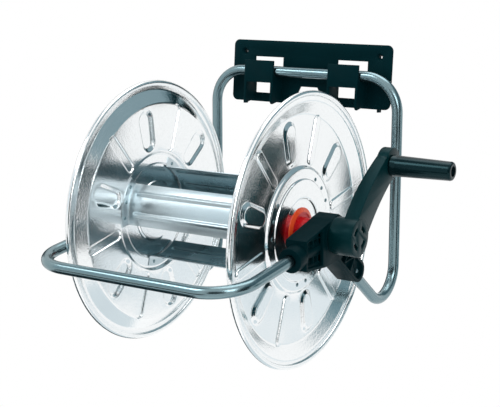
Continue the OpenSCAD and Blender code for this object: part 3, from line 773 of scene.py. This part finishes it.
def stage_sheet(name, wide, tall, matrix, material):
    """Sets up a flat rectangle of the stage."""
    x, y = wide / 2, tall / 2
    mesh = bpy.data.meshes.new(name)
    mesh.from_pydata([(-x, -y, 0), (x, -y, 0), (x, y, 0), (-x, y, 0)], [], [(0, 1, 2, 3)])
    mesh.transform(matrix)
    mesh.materials.append(material)
    obj = bpy.data.objects.new(name, mesh)
    bpy.context.scene.collection.objects.link(obj)
    return obj


class REEL_OT_stage(bpy.types.Operator):
    """Set the pale floor, the soft lamps, the backdrop and the camera"""

    bl_idname = "reel.stage"
    bl_label = "Studio"

    def execute(self, context):
        scene = context.scene
        studio = scene.reel_studio
        scene.view_settings.view_transform = "Standard"
        self.backdrop(scene)
        self.floor(studio)
        self.cards()
        self.lamps(scene)
        self.camera(scene, studio)
        return {"FINISHED"}

    def backdrop(self, scene):
        """White all round, and a softer light on the pieces than it looks."""
        world = bpy.data.worlds.new("white_studio")
        scene.world = world
        world.use_nodes = True
        tree = world.node_tree
        tree.nodes.clear()
        rays = add_node(tree, "ShaderNodeLightPath")
        seen = add_node(tree, "ShaderNodeMath", {
            0: rays.outputs["Is Camera Ray"], 1: rays.outputs["Is Glossy Ray"]}, operation="MAXIMUM")
        seen = add_node(tree, "ShaderNodeMath", {
            0: seen.outputs["Value"], 1: rays.outputs["Is Transmission Ray"]}, operation="MAXIMUM")
        level = add_node(tree, "ShaderNodeMapRange", {
            "Value": seen.outputs["Value"], "To Min": SKY_FILL, "To Max": 1.0})
        sky = add_node(tree, "ShaderNodeBackground", {"Color": WHITE, "Strength": level.outputs["Result"]})
        add_node(tree, "ShaderNodeOutputWorld", {"Surface": sky.outputs["Background"]})

    def floor(self, studio):
        """Pale painted floor that runs out into the white backdrop, so that no horizon shows."""
        z = CAD_BOX[0][2] - studio.floor_drop
        material, tree, place = new_surface("pale_floor")
        mottle = add_node(tree, "ShaderNodeTexNoise", {"Vector": place, "Scale": 3.0, "Detail": 2.0})
        rough = add_node(tree, "ShaderNodeMapRange", {
            "Value": mottle.outputs["Fac"], "To Min": 0.75, "To Max": 0.9})
        paint = add_node(tree, "ShaderNodeBsdfPrincipled", {
            "Base Color": linear("#f4f4f4"), "Roughness": rough.outputs["Result"],
            "Emission Color": WHITE, "Emission Strength": 0.3})
        glow = add_node(tree, "ShaderNodeEmission", {"Color": WHITE, "Strength": 1.0})
        away = add_node(tree, "ShaderNodeVectorMath", {0: place, 1: (0.0, AXLE.y, z)}, operation="DISTANCE")
        share = add_node(tree, "ShaderNodeMapRange", {
            "Value": away.outputs["Value"], "From Min": FLOOR_FADE[0], "From Max": FLOOR_FADE[1]},
            interpolation_type="SMOOTHSTEP")
        close_surface(tree, add_node(tree, "ShaderNodeMixShader", {
            0: share.outputs["Result"], 1: paint.outputs["BSDF"], 2: glow.outputs["Emission"]}))
        stage_sheet("studio_floor", FLOOR_WIDTH, FLOOR_WIDTH, Matrix.Translation((0, 0, z)), material)

    def cards(self):
        """Cards round the set that show only in the gloss of the pieces, as a photographer hangs them."""
        for name, colour, place, facing, wide, tall in CARDS:
            material, tree, spot = new_surface(name)
            fibre = add_node(tree, "ShaderNodeTexNoise", {"Vector": spot, "Scale": 4.0, "Detail": 2.0})
            level = add_node(tree, "ShaderNodeMapRange", {
                "Value": fibre.outputs["Fac"], "To Min": 0.9, "To Max": 1.1})
            close_surface(tree, add_node(tree, "ShaderNodeEmission", {
                "Color": linear(colour), "Strength": level.outputs["Result"]}))
            turn = Vector(facing).to_track_quat("Z", "Y").to_matrix().to_4x4()
            obj = stage_sheet(name, wide, tall, Matrix.Translation(AXLE + Vector(place)) @ turn, material)
            obj.visible_camera = False
            obj.visible_diffuse = False
            obj.visible_transmission = False
            obj.visible_shadow = False

    def lamps(self, scene):
        """Soft boxes that face the drum."""
        for name, place, size, power in LAMPS:
            light = bpy.data.lights.new(name, "AREA")
            light.size = size
            light.energy = power
            obj = bpy.data.objects.new(name, light)
            obj.location = place
            obj.rotation_euler = (AXLE - Vector(place)).to_track_quat("-Z", "Y").to_euler()
            scene.collection.objects.link(obj)

    def camera(self, scene, studio):
        """The frame of the reel hangs upright in the view, so the camera leans with it."""
        lean = Matrix.Rotation(HANG_LEAN, 3, "X")
        eye = HANG + lean @ (EYE - HANG)
        aim = HANG + lean @ (AIM - HANG)
        back = (eye - aim).normalized()
        right = (lean @ Vector((0, 0, 1))).cross(back).normalized()
        up = back.cross(right)
        lens = bpy.data.cameras.new("photo_camera")
        lens.sensor_width = 36.0
        lens.lens = studio.focal
        lens.clip_end = 50.0
        obj = bpy.data.objects.new("photo_camera", lens)
        obj.matrix_world = Matrix.Translation(eye) @ Matrix((right, up, back)).transposed().to_4x4()
        scene.collection.objects.link(obj)
        scene.camera = obj


class REEL_PT_panel(bpy.types.Panel):
    """Lists the steps that dress the reel"""

    bl_idname = "REEL_PT_panel"
    bl_label = "Hose Reel"
    bl_space_type = "VIEW_3D"
    bl_region_type = "UI"
    bl_category = "Hose Reel"

    def draw(self, context):
        for step in STEPS:
            self.layout.operator(step.bl_idname)
        for group in GROUPS:
            box = self.layout.box()
            values = getattr(context.scene, group)
            for name in values.__annotations__:
                box.prop(values, name)


GROUPS = {"reel_pressings": ReelPressings, "reel_colours": ReelColours, "reel_studio": ReelStudio}
STEPS = (REEL_OT_discs, REEL_OT_slats, REEL_OT_rivets, REEL_OT_mouldings, REEL_OT_metalwork, REEL_OT_stage)


def register():
    for cls in (*GROUPS.values(), *STEPS, REEL_PT_panel):
        bpy.utils.register_class(cls)
    for name, group in GROUPS.items():
        setattr(bpy.types.Scene, name, PointerProperty(type=group))


def unregister():
    for name in GROUPS:
        delattr(bpy.types.Scene, name)
    for cls in (REEL_PT_panel, *reversed(STEPS), *reversed(GROUPS.values())):
        bpy.utils.unregister_class(cls)


def main():
    """Dresses the reel step by step."""
    register()
    bpy.ops.reel.discs()
    bpy.ops.reel.slats()
    bpy.ops.reel.rivets()
    bpy.ops.reel.mouldings()
    bpy.ops.reel.metalwork()
    bpy.ops.reel.stage()
    bpy.context.view_layer.update()


if __name__ == "__main__":
    main()
